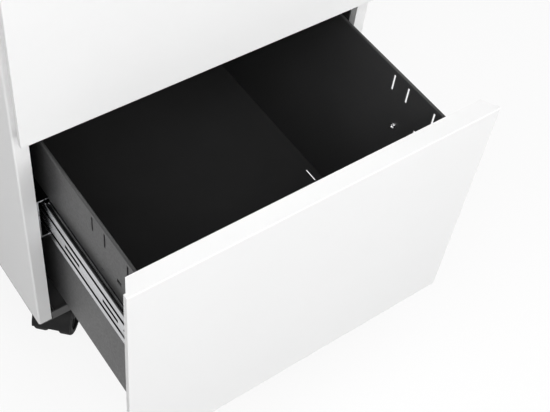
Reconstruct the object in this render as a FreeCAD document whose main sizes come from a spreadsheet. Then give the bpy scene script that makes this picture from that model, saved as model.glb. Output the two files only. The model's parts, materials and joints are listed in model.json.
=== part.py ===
import FreeCAD, Part
import math
import os
from types import SimpleNamespace

import Sketcher

# Driving dimensions in millimetres, each with its own cell in the document's sheet.
SIZES = {
    # Cabinet shell
    "cabinet_width": 390,
    "cabinet_depth": 500,
    "cabinet_height": 600,
    "caster_height": 68,
    "base_rail_height": 13,
    "top_rail_height": 14.5,
    "stile_width": 15.5,
    "shell_gauge": 1,
    "base_gauge": 1.5,
    "bend_radius": 2,
    "stile_return": 20,
    "back_return": 16,
    "seam": 0.3,
    "liner_gauge": 1,
    "liner_flange": 12,
    "liner_setback": 8,
    "drain_slot_setback": 4,
    "drain_slot_length": 26,
    "drain_slot_width": 5.5,
    "drain_slot_margin": 0.5,
    # Drawer fronts
    "rest_extension": 170,
    "front_thickness": 18,
    "front_lip": 5,
    "front_step": 2.2,
    "front_bevel": 9.2,
    "front_gauge": 1.2,
    "front_side_gauge": 1.5,
    "front_edge_radius": 0.8,
    "front_gap": 3,
    "closing_gap": 1,
    "top_reveal": 2,
    "file_front_height": 286,
    "backing_gauge": 1,
    # Drawer boxes
    "box_gauge": 1,
    "back_clearance": 32,
    "rim_drop": 29,
    "box_rise": 19.5,
    "hem_width": 3.2,
    "hem_height": 5,
    "hem_radius": 1.2,
    "floor_flange": 12,
    "floor_play": 0.2,
    "bar_slot_length": 20,
    "bar_slot_width": 2.6,
    "bar_slot_drop": 7.5,
    "bar_slot_first": 29.5,
    "bar_slot_second": 67.5,
    "bar_slot_third": 88.5,
    "notch_setback": 41,
    "notch_drop": 54.4,
    "notch_length": 7,
    "notch_height": 6,
    "floor_slit_setback": 142,
    "floor_slit_length": 34,
    "floor_slit_width": 2.4,
    "floor_slit_inset": 8.2,
    # Ball bearing slides
    "slide_space": 12.7,
    "slide_height_share": 0.577,
    "slide_setback": 3,
    "runner_height": 46.7,
    "runner_depth": 6.2,
    "runner_gauge": 1.2,
    "runner_flange": 2,
    "runner_lip": 9.2,
    "runner_rib": 17.4,
    "runner_bend": 1,
    "runner_hole_radius": 1.6,
    "runner_hole_setback": 24,
    "rail_gauge": 1.2,
    "rail_flange": 1.4,
    "rail_mouth": 0.8,
    "ball_radius": 1.6,
    "ball_play": 0.1,
    "race_clearance": 0.3,
    "race_half_width": 1.4,
    "race_center": 2.9,
    "cage_gauge": 0.8,
    "cage_gap": 0.7,
    "cage_length": 110,
    "cage_setback": 171,
    "cage_margin": 10,
    "runner_slot_first": 35,
    "runner_slot_length": 27,
    "runner_slot_height": 5,
    "runner_slot_last": 40,
    "bumper_length": 16,
    "bumper_setback": 16,
    "bumper_radius": 1.5,
    "bumper_play": 0.3,
    # Screws and rivets
    "screw_radius": 2,
    "screw_play": 0.05,
    "screw_head_radius": 3.6,
    "screw_head_height": 2,
    "screw_length": 4,
    "rivet_bore_radius": 1.75,
    "rivet_bore_depth": 1.2,
    "rivet_setback": 74,
    "rivet_height_share": 0.15,
    "rail_screw_setback": 40,
    "front_screw_inset": 40,
    # Casters
    "caster_inset_side": 49,
    "caster_inset_end": 45,
    "caster_trail": 18,
    "caster_angle": 45,
    "wheel_radius": 25,
    "wheel_width": 15,
    "wheel_shoulder": 3,
    "wheel_dish_radius": 18.5,
    "wheel_dish_depth": 3.5,
    "hub_radius": 6.5,
    "hub_crown": 2,
    "wheel_side_gap": 0.5,
    "hood_core_width": 12,
    "hood_clearance": 1,
    "hood_wall": 1.5,
    "hood_edge_height": 2,
    "hood_boss_radius": 10,
    "hood_lug_radius": 9,
    "stem_gap": 0.3,
    "stem_radius": 5,
    "stem_engagement": 24,
    "stem_bore_extra": 2,
    "stem_collar_radius": 11,
    "stem_collar_height": 4,
    "stem_thread_length": 14,
    "fit_play": 0.05,
    "axle_radius": 3,
    "axle_end_inset": 1,
    "nut_radius": 9,
    "nut_height": 8,
}

# Points closer than this are taken as one point.
TOUCH = 1e-6

BALLS_PER_ROW = 4
RUNNER_SLOTS = 6
SIDES = (("left", -1), ("right", 1))
ENDS = ("front", "rear")

doc = FreeCAD.newDocument("mobile_file_cabinet")
parts = []


class Size:
    """A length that keeps its number together with the sheet formula that gives it."""

    def __init__(self, value, text):
        self.value = float(value)
        self.text = text

    def __add__(self, other):
        other = as_size(other)
        return Size(self.value + other.value, f"({self.text} + {other.text})")

    def __sub__(self, other):
        other = as_size(other)
        return Size(self.value - other.value, f"({self.text} - {other.text})")

    def __mul__(self, other):
        other = as_size(other)
        return Size(self.value * other.value, f"({self.text} * {other.text})")

    def __truediv__(self, other):
        other = as_size(other)
        return Size(self.value / other.value, f"({self.text} / {other.text})")

    def __neg__(self):
        return Size(-self.value, f"(0 - {self.text})")


def as_size(item):
    """Give a plain number the same form as a named size."""
    if isinstance(item, Size):
        return item
    return Size(item, f"({float(item)})")


def root(size):
    """Square root of a size."""
    return Size(math.sqrt(size.value), f"sqrt({size.text})")


def named_sizes():
    """Write the driving dimensions to the sheet and return them as sizes."""
    sheet = doc.addObject("Spreadsheet::Sheet", "sizes")
    named = {}
    for row, (name, value) in enumerate(SIZES.items(), start=1):
        sheet.set(f"A{row}", name)
        sheet.set(f"B{row}", str(value))
        sheet.setAlias(f"B{row}", name)
        named[name] = Size(value, f"sizes.{name}")
    doc.recompute()
    return SimpleNamespace(**named)


# Document helpers


def bind(item, prop, size):
    """Tie one property of an object to the sheet."""
    item.setExpression(prop, as_size(size).text)


def place(item, x, y, z):
    """Tie an object's position to the sheet."""
    for axis, size in zip("xyz", (x, y, z)):
        bind(item, f"Placement.Base.{axis}", size)


def keep(item, label):
    """Name an object as one sub-part of the cabinet."""
    item.Label = label
    parts.append(item)
    return item


def block(name, low, high):
    """Rectangular block between two corners."""
    item = doc.addObject("Part::Box", name)
    for prop, start, end in zip(("Length", "Width", "Height"), low, high):
        bind(item, prop, as_size(end) - start)
    place(item, *low)
    return item


AXIS_TURNS = {
    "x": FreeCAD.Rotation(FreeCAD.Vector(0, 1, 0), 90),
    "y": FreeCAD.Rotation(FreeCAD.Vector(1, 0, 0), -90),
    "z": FreeCAD.Rotation(),
}


def cylinder(name, axis, radius, length, base):
    """Cylinder that starts at a base point and runs along a positive axis."""
    item = doc.addObject("Part::Cylinder", name)
    item.Placement = FreeCAD.Placement(FreeCAD.Vector(), AXIS_TURNS[axis])
    bind(item, "Radius", radius)
    bind(item, "Height", length)
    place(item, *base)
    return item


def fused(name, pieces):
    """Several touching pieces made into one solid."""
    item = doc.addObject("Part::MultiFuse", name)
    item.Shapes = pieces
    item.Refine = True
    return item


def grouped(name, pieces):
    """Several separate solids that share one node."""
    item = doc.addObject("Part::Compound", name)
    item.Links = pieces
    return item


def cut(name, base, tools):
    """A piece with other shapes taken out of it."""
    item = doc.addObject("Part::Cut", name)
    item.Base = base
    item.Tool = tools[0] if len(tools) == 1 else grouped(f"{name}_tools", tools)
    item.Refine = True
    return item


def arc_between(start, end, radius):
    """Arc from start to end, counterclockwise for a positive radius."""
    chord = end - start
    left = FreeCAD.Vector(-chord.y, chord.x, 0).normalize()
    rise = math.sqrt(max(radius ** 2 - (chord.Length / 2) ** 2, 0))
    center = (start + end) * 0.5 + left * math.copysign(rise, radius)
    first, last = (start, end) if radius > 0 else (end, start)
    angles = [math.atan2(point.y - center.y, point.x - center.x) for point in (first, last)]
    circle = Part.Circle(center, FreeCAD.Vector(0, 0, 1), abs(radius))
    return Part.ArcOfCircle(circle, *angles)


def draw(sketch, corners):
    """Draw a closed outline whose corners are tied to the sheet.

    A corner is (x, y), or (x, y, radius) where an arc runs on to the next corner.
    """
    first = sketch.GeometryCount
    points = [FreeCAD.Vector(as_size(c[0]).value, as_size(c[1]).value, 0) for c in corners]
    starts = []
    ends = []
    for index, corner in enumerate(corners):
        start = points[index]
        end = points[(index + 1) % len(corners)]
        if len(corner) == 2:
            number = sketch.addGeometry(Part.LineSegment(start, end), False)
            forward = True
        else:
            radius = as_size(corner[2])
            number = sketch.addGeometry(arc_between(start, end, radius.value), False)
            forward = radius.value > 0
        starts.append((number, 1 if forward else 2))
        ends.append((number, 2 if forward else 1))
    for index in range(len(corners)):
        sketch.addConstraint(Sketcher.Constraint("Coincident", *ends[index - 1], *starts[index]))
    for index, corner in enumerate(corners):
        for kind, size in zip(("DistanceX", "DistanceY"), corner):
            size = as_size(size)
            number = sketch.addConstraint(Sketcher.Constraint(kind, -1, 1, *starts[index], size.value))
            sketch.setExpression(f"Constraints[{number}]", size.text)
        if len(corner) == 3:
            radius = as_size(corner[2])
            radius = radius if radius.value > 0 else -radius
            number = sketch.addConstraint(Sketcher.Constraint("Radius", first + index, radius.value))
            sketch.setExpression(f"Constraints[{number}]", radius.text)


def draw_circle(sketch, x, y, radius):
    """Draw a circle whose middle and radius are tied to the sheet."""
    middle = FreeCAD.Vector(as_size(x).value, as_size(y).value, 0)
    circle = Part.Circle(middle, FreeCAD.Vector(0, 0, 1), as_size(radius).value)
    number = sketch.addGeometry(circle, False)
    rules = (
        (x, Sketcher.Constraint("DistanceX", -1, 1, number, 3, middle.x)),
        (y, Sketcher.Constraint("DistanceY", -1, 1, number, 3, middle.y)),
        (radius, Sketcher.Constraint("Radius", number, circle.Radius)),
    )
    for size, rule in rules:
        index = sketch.addConstraint(rule)
        sketch.setExpression(f"Constraints[{index}]", as_size(size).text)


def sketch_on(body, name, role):
    """Empty sketch on one of a body's own origin planes."""
    sketch = body.newObject("Sketcher::SketchObject", name)
    plane = next(item for item in body.Origin.OriginFeatures if item.Role == role)
    sketch.AttachmentSupport = (plane, [""])
    sketch.MapMode = "FlatFace"
    return sketch


def prism(name, role, outline, length, base):
    """Body with one outline padded towards the positive side of its plane's axis."""
    body = doc.addObject("PartDesign::Body", name)
    sketch = sketch_on(body, f"{name}_outline", role)
    draw(sketch, outline)
    pad = body.newObject("PartDesign::Pad", f"{name}_pad")
    pad.Profile = sketch
    pad.Reversed = role == "XZ_Plane"
    bind(pad, "Length", length)
    place(body, *base)
    return body


def pierce(body, name, role, outlines=(), circles=()):
    """Cut outlines and circles right through a body, to both sides of one of its planes."""
    sketch = sketch_on(body, f"{name}_outline", role)
    for outline in outlines:
        draw(sketch, outline)
    for circle in circles:
        draw_circle(sketch, *circle)
    pocket = body.newObject("PartDesign::Pocket", name)
    pocket.Profile = sketch
    pocket.Type = "ThroughAll"
    pocket.SideType = "Symmetric"
    return pocket


def repeat(body, feature, length, count):
    """Repeat a cut along its sketch's first axis."""
    pattern = body.newObject("PartDesign::LinearPattern", f"{feature.Name}_row")
    pattern.Originals = [feature]
    pattern.Direction = (feature.Profile[0], ["H_Axis"])
    pattern.Occurrences = count
    bind(pattern, "Length", length)
    body.Tip = pattern


def turned(name, outline, base):
    """Body turned about the Y axis; the outline is in along-axis and radius pairs."""
    body = doc.addObject("PartDesign::Body", name)
    sketch = sketch_on(body, f"{name}_outline", "YZ_Plane")
    draw(sketch, outline)
    turn = body.newObject("PartDesign::Revolution", f"{name}_turn")
    turn.Profile = sketch
    turn.ReferenceAxis = (sketch, ["H_Axis"])
    turn.Angle = 360
    place(body, *base)
    return body


def rectangle(x, y, width, height):
    """Corners of a rectangle from its lowest corner and its size."""
    return [(x, y), (x + width, y), (x + width, y + height), (x, y + height)]


def rounded_rectangle(x0, y0, x1, y1, radius):
    """Corners of a rectangle whose four corners are arcs."""
    return [
        (x0 + radius, y0), (x1 - radius, y0, radius),
        (x1, y0 + radius), (x1, y1 - radius, radius),
        (x1 - radius, y1), (x0 + radius, y1, radius),
        (x0, y1 - radius), (x0, y0 + radius, radius),
    ]


def handed(side, outline):
    """Mirror an outline's first axis for the left side, arcs included."""
    if side > 0:
        return outline
    return [(-corner[0], *corner[1:2], *(-radius for radius in corner[2:])) for corner in outline]


def screw(name, axis_sign, head_base, length):
    """Pan head screw along X: the head starts at its seat and the shank runs the other way."""
    x, y, z = head_base
    head_start = x if axis_sign > 0 else x - s.screw_head_height
    shank_start = x - length if axis_sign > 0 else x
    head = cylinder(f"{name}_head", "x", s.screw_head_radius, s.screw_head_height, (head_start, y, z))
    shank = cylinder(f"{name}_shank", "x", s.screw_radius, length, (shank_start, y, z))
    return fused(name, [head, shank])


def rivet(name, axis_sign, head_base):
    """Hollow rivet along X: its head is on a drawer wall and its shank ends flush with the far side."""
    x, y, z = head_base
    blank = screw(f"{name}_blank", axis_sign, head_base, s.box_gauge)
    bore_start = x - s.box_gauge if axis_sign > 0 else x - s.rivet_bore_depth
    bore_length = s.box_gauge + s.rivet_bore_depth
    bore = cylinder(f"{name}_bore", "x", s.rivet_bore_radius, bore_length, (bore_start, y, z))
    return cut(name, blank, [bore])


s = named_sizes()

# Places that several pieces share. The front of the cabinet faces -Y and the floor is at zero height.
half_width = s.cabinet_width / 2
face_y = (s.rest_extension - s.cabinet_depth) / 2
back_y = face_y + s.cabinet_depth
shell_y = face_y + s.front_thickness + s.closing_gap
base_top = s.caster_height + s.base_gauge
shell_top = s.cabinet_height - s.shell_gauge
opening_half = half_width - s.stile_width
stile_lip = opening_half + s.liner_gauge
box_half = opening_half - s.slide_space
box_depth = s.cabinet_depth - s.front_thickness - s.back_clearance
file_bottom = s.caster_height + s.base_rail_height + s.front_gap
upper_bottom = file_bottom + s.file_front_height + s.front_gap
upper_height = s.cabinet_height - s.top_reveal - upper_bottom

# Ball tracks, measured outwards from the drawer wall and up from the slide's middle.
runner_half = s.runner_height / 2
runner_mouth = runner_half - s.runner_lip
rib_half = s.runner_rib / 2
race_radius = s.ball_radius + s.race_clearance
race_rise = root(race_radius * race_radius - s.race_half_width * s.race_half_width)
ball_height = runner_half + race_rise
rail_inner_half = ball_height + race_rise
rail_half = rail_inner_half + s.rail_flange
race_low = s.race_center - s.race_half_width
race_high = s.race_center + s.race_half_width

DRAWERS = (
    SimpleNamespace(name="file", bottom=file_bottom, height=s.file_front_height, y=face_y - s.rest_extension),
    SimpleNamespace(name="upper", bottom=upper_bottom, height=upper_height, y=face_y),
)


# Cabinet shell


def side_panel(name, side):
    """Folded side skin with its front stile, the return behind it and a back return."""
    bend = s.bend_radius
    gauge = s.shell_gauge
    outline = [
        (stile_lip, shell_y),
        (half_width - bend, shell_y, bend),
        (half_width, shell_y + bend),
        (half_width, back_y),
        (half_width - s.back_return, back_y),
        (half_width - s.back_return, back_y - gauge),
        (half_width - gauge, back_y - gauge),
        (half_width - gauge, shell_y + bend, gauge - bend),
        (half_width - bend, shell_y + gauge),
        (stile_lip + gauge, shell_y + gauge),
        (stile_lip + gauge, shell_y + s.stile_return),
        (stile_lip, shell_y + s.stile_return),
    ]
    panel = prism(f"{name}_body", "XY_Plane", handed(side, outline), shell_top - base_top, (0, 0, base_top))
    keep(panel, name)


def rail_screw_places(drawer):
    """Along-slide and height places of the screws that hold a cabinet rail."""
    start = shell_y - s.closing_gap + s.slide_setback
    ends = (start + s.rail_screw_setback, start + box_depth - s.rail_screw_setback)
    return [(end, slide_middle(drawer)) for end in ends]


def liner(name, side):
    """Inner wall that carries the slides, with a flange on the back panel."""
    front = shell_y + s.liner_setback
    back = back_y - s.shell_gauge
    outline = [
        (opening_half, front),
        (stile_lip, front),
        (stile_lip, back),
        (opening_half - s.liner_flange, back),
        (opening_half - s.liner_flange, back - s.liner_gauge),
        (opening_half, back - s.liner_gauge),
    ]
    sheet = prism(f"{name}_sheet", "XY_Plane", handed(side, outline), shell_top - base_top, (0, 0, base_top))
    places = [place_yz for drawer in DRAWERS for place_yz in rail_screw_places(drawer)]
    holes = [(y, z - base_top, s.screw_radius + s.screw_play) for y, z in places]
    pierce(sheet, f"{name}_holes", "YZ_Plane", circles=holes)
    keep(sheet, name)


def top_panel():
    """Top sheet over the sides, with a front rail between the stiles."""
    plate_outline = rounded_rectangle(-half_width, shell_y, half_width, back_y, s.bend_radius)
    plate = prism("top_plate", "XY_Plane", plate_outline, s.shell_gauge, (0, 0, shell_top))
    gauge = s.shell_gauge
    rail_outline = [
        (shell_y, -s.top_rail_height),
        (shell_y + s.stile_return, -s.top_rail_height),
        (shell_y + s.stile_return, gauge - s.top_rail_height),
        (shell_y + gauge, gauge - s.top_rail_height),
        (shell_y + gauge, 0),
        (shell_y, 0),
    ]
    rail = prism("top_rail", "YZ_Plane", rail_outline, opening_half * 2, (-opening_half, 0, shell_top))
    keep(fused("top_panel_sheet", [plate, rail]), "top_panel")


def caster_places():
    """Name and swivel point of each caster."""
    near = shell_y + s.caster_inset_end
    far = back_y - s.caster_inset_end
    inset = half_width - s.caster_inset_side
    return [
        (f"{end}_{side}", inset * sign, near if end == "front" else far)
        for end in ENDS
        for side, sign in SIDES
    ]


def base_pan():
    """Bottom sheet with a front rail, a hole for each caster stem and a drain slot in each front corner."""
    plate_outline = rounded_rectangle(-half_width, shell_y, half_width, back_y, s.bend_radius)
    plate = prism("base_plate", "XY_Plane", plate_outline, s.base_gauge, (0, 0, s.caster_height))
    holes = [(x, y, s.stem_radius + s.fit_play) for _, x, y in caster_places()]
    pierce(plate, "base_stem_holes", "XY_Plane", circles=holes)
    slot_outline = rectangle(
        opening_half - s.drain_slot_margin - s.drain_slot_width, shell_y + s.drain_slot_setback,
        s.drain_slot_width, s.drain_slot_length,
    )
    pierce(plate, "base_drain_slots", "XY_Plane", [handed(sign, slot_outline) for _, sign in SIDES])
    front = block(
        "base_rail",
        (-opening_half, shell_y, base_top),
        (opening_half, shell_y + s.base_gauge, s.caster_height + s.base_rail_height),
    )
    keep(fused("base_pan_sheet", [plate, front]), "base_pan")


def back_panel():
    """Flat back sheet between the two back returns."""
    reach = half_width - s.back_return - s.seam
    sheet = block("back_sheet", (-reach, back_y - s.shell_gauge, base_top), (reach, back_y, shell_top))
    keep(sheet, "back_panel")


# Drawer boxes and fronts


def drawer_front(drawer):
    """Folded front tray: flat face, short hemmed lips, bevelled finger edges, top and bottom flanges."""
    depth = s.front_thickness
    name = drawer.name
    step_half = half_width - s.front_step
    outline = [
        (-half_width, 0), (half_width, 0), (half_width, s.front_lip),
        (step_half, s.front_lip), (half_width - s.front_bevel, depth),
        (s.front_bevel - half_width, depth), (-step_half, s.front_lip),
        (-half_width, s.front_lip),
    ]
    tray = prism(f"{name}_front_outer", "XY_Plane", outline, drawer.height, (0, drawer.y, drawer.bottom))
    doc.recompute()
    pad = tray.Tip
    face_edges = [
        f"Edge{number}" for number, line in enumerate(pad.Shape.Edges, start=1)
        if all(abs(vertex.Y) < TOUCH for vertex in line.Vertexes)
    ]
    edge = tray.newObject("PartDesign::Fillet", f"{name}_front_edge")
    edge.Base = (pad, face_edges)
    bind(edge, "Radius", s.front_edge_radius)
    run = (depth + s.closing_gap - s.front_lip) / (depth - s.front_lip)
    inner_half = step_half - s.front_side_gauge
    inner_back = inner_half - (s.front_bevel - s.front_step) * run
    hollow_outline = [
        (-inner_half, s.front_gauge), (inner_half, s.front_gauge),
        (inner_half, s.front_lip), (inner_back, depth + s.closing_gap),
        (-inner_back, depth + s.closing_gap), (-inner_half, s.front_lip),
    ]
    hollow = prism(
        f"{name}_front_hollow", "XY_Plane", hollow_outline, drawer.height - s.front_gauge * 2,
        (0, drawer.y, drawer.bottom + s.front_gauge),
    )
    keep(cut(f"{name}_front_tray", tray, [hollow]), f"{name}_front")


def box_low(drawer):
    """Height of the underside of a drawer box."""
    return drawer.bottom + s.box_rise


def box_high(drawer):
    """Height of the rim of a drawer box."""
    return drawer.bottom + drawer.height - s.rim_drop


def slide_middle(drawer):
    """Height of the middle of a drawer's slides, a little above half way up its box."""
    return box_low(drawer) + (box_high(drawer) - box_low(drawer)) * s.slide_height_share


def wall_top(drawer):
    """Height of the front and back walls, which end just under the rolled rims of the sides."""
    return box_high(drawer) - s.hem_height - s.floor_play


def box_front_y(drawer):
    """Plane where a drawer box meets its front."""
    return drawer.y + s.front_thickness


def front_screw_places(drawer):
    """Places, seen from the front, of the screws that hold a front to its box."""
    reach = box_half - s.front_screw_inset
    low = box_low(drawer) + s.front_screw_inset
    high = box_high(drawer) - s.front_screw_inset
    return [(reach * sign, z) for _, sign in SIDES for z in (low, high)]


def front_sheets(drawer):
    """Backing that closes the tray, the box's own front wall, and the screws through both."""
    name = drawer.name
    y = box_front_y(drawer)
    holes = [(x, z - drawer.bottom, s.screw_radius + s.screw_play) for x, z in front_screw_places(drawer)]
    reach = half_width - s.front_side_gauge - s.front_bevel - s.floor_play
    margin = s.front_gauge + s.floor_play
    backing = prism(
        f"{name}_backing_sheet", "XZ_Plane",
        rectangle(-reach, margin, reach * 2, drawer.height - margin * 2),
        s.backing_gauge, (0, y - s.backing_gauge, drawer.bottom),
    )
    pierce(backing, f"{name}_backing_holes", "XZ_Plane", circles=holes)
    keep(backing, f"{name}_front_backing")
    wall_half = box_half - s.box_gauge - s.floor_play
    foot = box_low(drawer) + s.box_gauge
    wall = prism(
        f"{name}_inner_front_sheet", "XZ_Plane",
        rectangle(-wall_half, foot - drawer.bottom, wall_half * 2, wall_top(drawer) - foot),
        s.box_gauge, (0, y, drawer.bottom),
    )
    pierce(wall, f"{name}_inner_front_holes", "XZ_Plane", circles=holes)
    keep(wall, f"{name}_inner_front")
    screws = []
    for number, (x, z) in enumerate(front_screw_places(drawer), start=1):
        title = f"{name}_front_screw{number}"
        seat = y + s.box_gauge
        head = cylinder(f"{title}_head", "y", s.screw_head_radius, s.screw_head_height, (x, seat, z))
        shank = cylinder(f"{title}_shank", "y", s.screw_radius, s.screw_length, (x, seat - s.screw_length, z))
        screws.append(fused(title, [head, shank]))
    keep(grouped(f"{name}_front_screw_set", screws), f"{name}_front_screws")


def hem_outline(wall_inner, wall_outer, low, high):
    """Wall section from its foot up to a rounded hem along its top edge."""
    middle = (wall_inner + wall_outer) / 2
    inner = middle - s.hem_width / 2
    outer = middle + s.hem_width / 2
    neck = high - s.hem_height
    bend = s.hem_radius
    return [
        (wall_outer, low), (wall_outer, neck), (outer, neck),
        (outer, high - bend, bend), (outer - bend, high),
        (inner + bend, high, bend), (inner, high - bend),
        (inner, neck), (wall_inner, neck),
    ]


def box_side(drawer, side_name, side):
    """Side wall with a rolled rim, a foot for the floor, slots for hanging file bars and a notch."""
    name = f"{drawer.name}_{side_name}_side"
    low = box_low(drawer)
    high = box_high(drawer)
    inner = box_half - s.box_gauge
    outline = hem_outline(inner, box_half, low, high) + [
        (inner, low + s.box_gauge),
        (box_half - s.floor_flange, low + s.box_gauge),
        (box_half - s.floor_flange, low),
    ]
    wall = prism(f"{name}_sheet", "XZ_Plane", handed(side, outline), box_depth, (0, box_front_y(drawer), 0))
    slot_low = high - s.bar_slot_drop - s.bar_slot_length
    openings = [
        rectangle(setback - s.bar_slot_width / 2, slot_low, s.bar_slot_width, s.bar_slot_length)
        for setback in (s.bar_slot_first, s.bar_slot_second, s.bar_slot_third)
    ]
    notch_low = high - s.notch_drop
    openings.append(rectangle(s.notch_setback, notch_low, s.notch_length, s.notch_height))
    holes = [(y, rivet_height(drawer), s.screw_radius + s.screw_play) for y in rivet_setbacks()]
    pierce(wall, f"{name}_slots", "YZ_Plane", openings, holes)
    pierce(wall, f"{name}_slit", "XY_Plane", [slit_outline(side, s.floor_slit_setback)])
    keep(wall, name)


def rivet_setbacks():
    """Distances from the box's front of the rivets in a side wall."""
    return (s.rivet_setback, box_depth - s.rivet_setback)


def rivet_height(drawer):
    """Height of the rivets, between the top of the runner and the underside of the rim."""
    runner_top = slide_middle(drawer) + runner_half
    return runner_top + (box_high(drawer) - s.hem_height - runner_top) * s.rivet_height_share


def slit_outline(side, start):
    """Narrow slit in the drawer floor, close beside a side wall."""
    x = box_half - s.box_gauge - s.floor_slit_inset - s.floor_slit_width
    return handed(side, rectangle(x, start, s.floor_slit_width, s.floor_slit_length))


def box_rest(drawer):
    """Floor and back wall of a drawer box, and the rivets in its sides."""
    name = drawer.name
    y = box_front_y(drawer)
    low = box_low(drawer)
    inner = box_half - s.box_gauge
    reach = inner - s.floor_play
    length = box_depth - s.box_gauge * 2
    floor = prism(
        f"{name}_floor_sheet", "XY_Plane", rectangle(-reach, s.box_gauge, reach * 2, length),
        s.box_gauge, (0, y, low + s.box_gauge),
    )
    slits = [slit_outline(sign, s.floor_slit_setback) for _, sign in SIDES]
    pierce(floor, f"{name}_floor_slits", "XY_Plane", slits)
    keep(floor, f"{name}_floor")
    foot = low + s.box_gauge
    back_outline = hem_outline(box_depth - s.box_gauge, box_depth, foot, wall_top(drawer)) + [
        (box_depth - s.box_gauge, foot),
    ]
    back = prism(f"{name}_back_sheet", "YZ_Plane", back_outline, reach * 2, (-reach, y, 0))
    keep(back, f"{name}_back")
    rivets = [
        rivet(f"{name}_rivet_{side}_{number}", -sign, (inner * sign, y + setback, rivet_height(drawer)))
        for side, sign in SIDES
        for number, setback in enumerate(rivet_setbacks(), start=1)
    ]
    keep(grouped(f"{name}_rivet_set", rivets), f"{name}_rivets")


# Ball bearing slides


def from_wall(outline, middle):
    """Move a slide section from the drawer wall and slide middle to its place in the cabinet."""
    return [(box_half + corner[0], middle + corner[1], *corner[2:]) for corner in outline]


def runner(drawer, side_name, side):
    """Drawer member: a lipped channel with a ball race in each flange and slots along a raised rib."""
    name = f"{drawer.name}_{side_name}_runner"
    web = s.runner_gauge
    depth = s.runner_depth
    bend = s.runner_bend
    inside = runner_half - s.runner_flange
    rib_inside = rib_half - web
    zero = as_size(0)
    section = [
        (zero, -runner_half),
        (race_low, -runner_half, -race_radius), (race_high, -runner_half),
        (depth - bend, -runner_half, bend), (depth, bend - runner_half),
        (depth, -runner_mouth), (depth - web, -runner_mouth), (depth - web, -inside),
        (web, -inside), (web, -rib_half), (depth, -rib_half),
        (depth, rib_half), (web, rib_half), (web, inside),
        (depth - web, inside), (depth - web, runner_mouth), (depth, runner_mouth),
        (depth, runner_half - bend, bend), (depth - bend, runner_half),
        (race_high, runner_half, -race_radius), (race_low, runner_half),
        (zero, runner_half), (zero, rib_inside), (depth - web, rib_inside),
        (depth - web, -rib_inside), (zero, -rib_inside),
    ]
    outline = handed(side, from_wall(section, slide_middle(drawer)))
    start = box_front_y(drawer) + s.slide_setback
    body = prism(f"{name}_channel", "XZ_Plane", outline, box_depth, (0, start, 0))
    hole = (s.runner_hole_setback, slide_middle(drawer), s.runner_hole_radius)
    pierce(body, f"{name}_hole", "YZ_Plane", circles=[hole])
    slot_low = slide_middle(drawer) - s.runner_slot_height / 2
    slot = rectangle(s.runner_slot_first, slot_low, s.runner_slot_length, s.runner_slot_height)
    pocket = pierce(body, f"{name}_slot", "YZ_Plane", [slot])
    row = box_depth - s.runner_slot_first - s.runner_slot_length - s.runner_slot_last
    repeat(body, pocket, row, RUNNER_SLOTS)
    keep(body, name)


def bumpers(drawer):
    """Stop bumpers between the rib and the lower lip, at the front ends of both drawer members."""
    name = drawer.name
    base = slide_middle(drawer) - runner_mouth + s.bumper_play
    start = box_front_y(drawer) + s.slide_setback + s.bumper_setback
    height = runner_mouth - rib_half - s.bumper_play * 2
    outline = rounded_rectangle(as_size(0), as_size(0), s.bumper_length, height, s.bumper_radius)
    width = s.runner_depth - s.runner_gauge
    near = box_half + s.runner_gauge
    pieces = []
    for side, sign in SIDES:
        x = near if sign > 0 else -near - width
        pieces.append(prism(f"{name}_{side}_bumper", "YZ_Plane", outline, width, (x, start, base)))
    keep(grouped(f"{name}_bumper_pair", pieces), f"{name}_bumpers")


def rail(drawer, side_name, side):
    """Cabinet member: a deeper channel whose flanges hold the outer ball races."""
    name = f"{drawer.name}_{side_name}_rail"
    web = s.slide_space - s.rail_gauge
    section = [
        (s.slide_space, -rail_half), (s.slide_space, rail_half),
        (s.rail_mouth, rail_half), (s.rail_mouth, rail_inner_half),
        (race_low, rail_inner_half, -race_radius), (race_high, rail_inner_half),
        (web, rail_inner_half), (web, -rail_inner_half),
        (race_high, -rail_inner_half, -race_radius), (race_low, -rail_inner_half),
        (s.rail_mouth, -rail_inner_half), (s.rail_mouth, -rail_half),
    ]
    outline = handed(side, from_wall(section, slide_middle(drawer)))
    start = shell_y - s.closing_gap + s.slide_setback
    body = prism(f"{name}_channel", "XZ_Plane", outline, box_depth, (0, start, 0))
    holes = [(y - start, z, s.screw_radius + s.screw_play) for y, z in rail_screw_places(drawer)]
    pierce(body, f"{name}_holes", "YZ_Plane", circles=holes)
    keep(body, name)


def rail_screws():
    """Screws that hold the cabinet members to the liners."""
    seat = opening_half - s.rail_gauge
    screws = [
        screw(f"{drawer.name}_{side}_rail_screw{number}", -sign, (seat * sign, y, z), s.screw_length)
        for drawer in DRAWERS
        for side, sign in SIDES
        for number, (y, z) in enumerate(rail_screw_places(drawer), start=1)
    ]
    keep(grouped("rail_screw_set", screws), "rail_screws")


def cage_start(drawer):
    """Front end of a ball cage, which has moved half as far as its drawer."""
    travelled = (face_y - drawer.y) / 2
    return shell_y - s.closing_gap + s.slide_setback + s.cage_setback - travelled


def ball_pitch():
    """Distance between balls in a row."""
    return (s.cage_length - s.cage_margin * 2) / (BALLS_PER_ROW - 1)


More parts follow.
